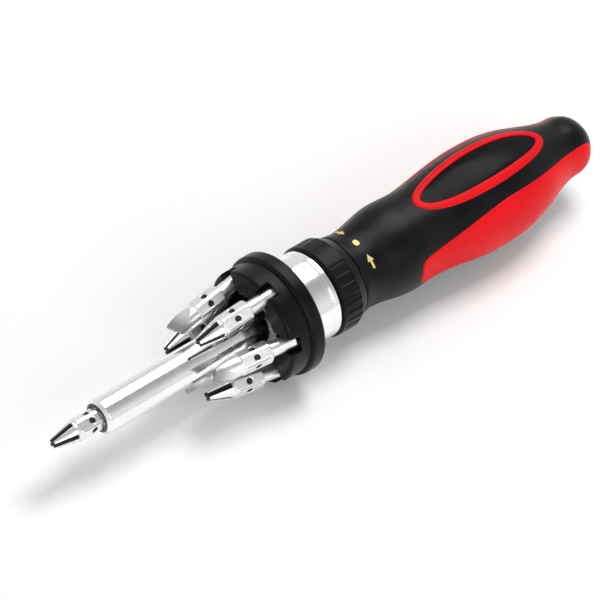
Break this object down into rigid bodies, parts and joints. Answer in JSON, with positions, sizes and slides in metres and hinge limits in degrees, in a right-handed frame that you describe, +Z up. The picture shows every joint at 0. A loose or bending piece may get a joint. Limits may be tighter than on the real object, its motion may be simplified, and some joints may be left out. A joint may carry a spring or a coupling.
{
  "type": "ratcheting screwdriver",
  "caption": "Ratcheting screwdriver: black handle with red side grips, chromed ferrule and shaft, a turning direction selector, a bit in the socket and a carrier ring of spare bits.",
  "frame": {"origin": "on the tool's axis, in the mouth of the bit socket at the front end of the shaft", "axes": "+X forwards along the tool's axis to the bit's tip, +Z up through the badge on the handle, +Y to the left as seen from behind the handle"},
  "size_m": [0.202, 0.0376, 0.0376],
  "materials": {
    "handle_black": "satin black moulded plastic",
    "grip_red": "soft red moulded grip",
    "badge_black": "bare gloss black plate",
    "selector_black": "satin black plastic",
    "carrier_black": "satin black plastic",
    "bright_chrome": "polished chrome plate",
    "bit_steel": "fine turned and milled steel",
    "hardened_steel": "ground hardened steel",
    "housing_steel": "machined casting",
    "spring_steel": "oiled spring steel",
    "bush_bronze": "sintered bearing bronze",
    "magnet": "plated magnet"
  },
  "bodies": {
    "handle": {"handle_core": "handle_black", "grip_panel_left": "grip_red", "grip_panel_right": "grip_red", "badge_ring": "grip_red", "badge_plate": "badge_black", "ratchet_housing": "housing_steel", "front_ferrule": "bright_chrome", "front_bush": "bush_bronze", "rear_bush": "bush_bronze", "pawl_pins": "hardened_steel", "detent_spring": "spring_steel", "forward_pawl_spring": "spring_steel", "reverse_pawl_spring": "spring_steel"},
    "shaft": {"drive_shaft": "bright_chrome", "ratchet_gear": "hardened_steel", "chuck_magnet": "magnet", "bit_carrier": "carrier_black", "carrier_clip": "spring_steel", "thrust_washer": "bush_bronze", "retaining_ring": "spring_steel"},
    "selector": {"selector_ring": "selector_black"},
    "forward_pawl": {"forward_pawl": "hardened_steel"},
    "reverse_pawl": {"reverse_pawl": "hardened_steel"},
    "driver_bit": {"driver_bit": "bit_steel"},
    "stored_bit_1": {"stored_bit_1": "bit_steel"},
    "stored_bit_2": {"stored_bit_2": "bit_steel"},
    "stored_bit_3": {"stored_bit_3": "bit_steel"},
    "stored_bit_4": {"stored_bit_4": "bit_steel"},
    "stored_bit_5": {"stored_bit_5": "bit_steel"},
    "stored_bit_6": {"stored_bit_6": "bit_steel"}
  },
  "joints": [
    {"name": "shaft_spin", "type": "hinge", "parent": "handle", "child": "shaft", "pos_m": [0, 0, 0], "axis": [1, 0, 0], "continuous": true},
    {"name": "selector_turn", "type": "hinge", "parent": "handle", "child": "selector", "pos_m": [-0.0858, 0, 0], "axis": [1, 0, 0], "range_deg": [-25, 25], "deforming": ["detent_spring"]},
    {"name": "forward_pawl_rock", "type": "hinge", "parent": "handle", "child": "forward_pawl", "pos_m": [-0.0858, -0.00867, 0.00153], "axis": [1, 0, 0], "range_deg": [-5.05, 5.05], "deforming": ["forward_pawl_spring"]},
    {"name": "reverse_pawl_rock", "type": "hinge", "parent": "handle", "child": "reverse_pawl", "pos_m": [-0.0858, 0.00867, 0.00153], "axis": [1, 0, 0], "range_deg": [-5.05, 5.05], "deforming": ["reverse_pawl_spring"]},
    {"name": "driver_bit_pull", "type": "slide", "parent": "shaft", "child": "driver_bit", "axis": [1, 0, 0], "range_m": [0, 0.0175]},
    {"name": "stored_bit_1_pull", "type": "slide", "parent": "shaft", "child": "stored_bit_1", "axis": [0.9903, -0.0242, -0.1371], "range_m": [0, 0.0085]},
    {"name": "stored_bit_2_pull", "type": "slide", "parent": "shaft", "child": "stored_bit_2", "axis": [0.9903, 0.1066, -0.0895], "range_m": [0, 0.0085]},
    {"name": "stored_bit_3_pull", "type": "slide", "parent": "shaft", "child": "stored_bit_3", "axis": [0.9903, 0.1308, 0.0476], "range_m": [0, 0.0085]},
    {"name": "stored_bit_4_pull", "type": "slide", "parent": "shaft", "child": "stored_bit_4", "axis": [0.9903, 0.0242, 0.1371], "range_m": [0, 0.0085]},
    {"name": "stored_bit_5_pull", "type": "slide", "parent": "shaft", "child": "stored_bit_5", "axis": [0.9903, -0.1066, 0.0895], "range_m": [0, 0.0085]},
    {"name": "stored_bit_6_pull", "type": "slide", "parent": "shaft", "child": "stored_bit_6", "axis": [0.9903, -0.1308, -0.0476], "range_m": [0, 0.0085]}
  ],
  "couplings": [
    {"joint": "forward_pawl_rock", "follows": "selector_turn", "ratio": 0.2},
    {"joint": "reverse_pawl_rock", "follows": "selector_turn", "ratio": 0.2}
  ]
}
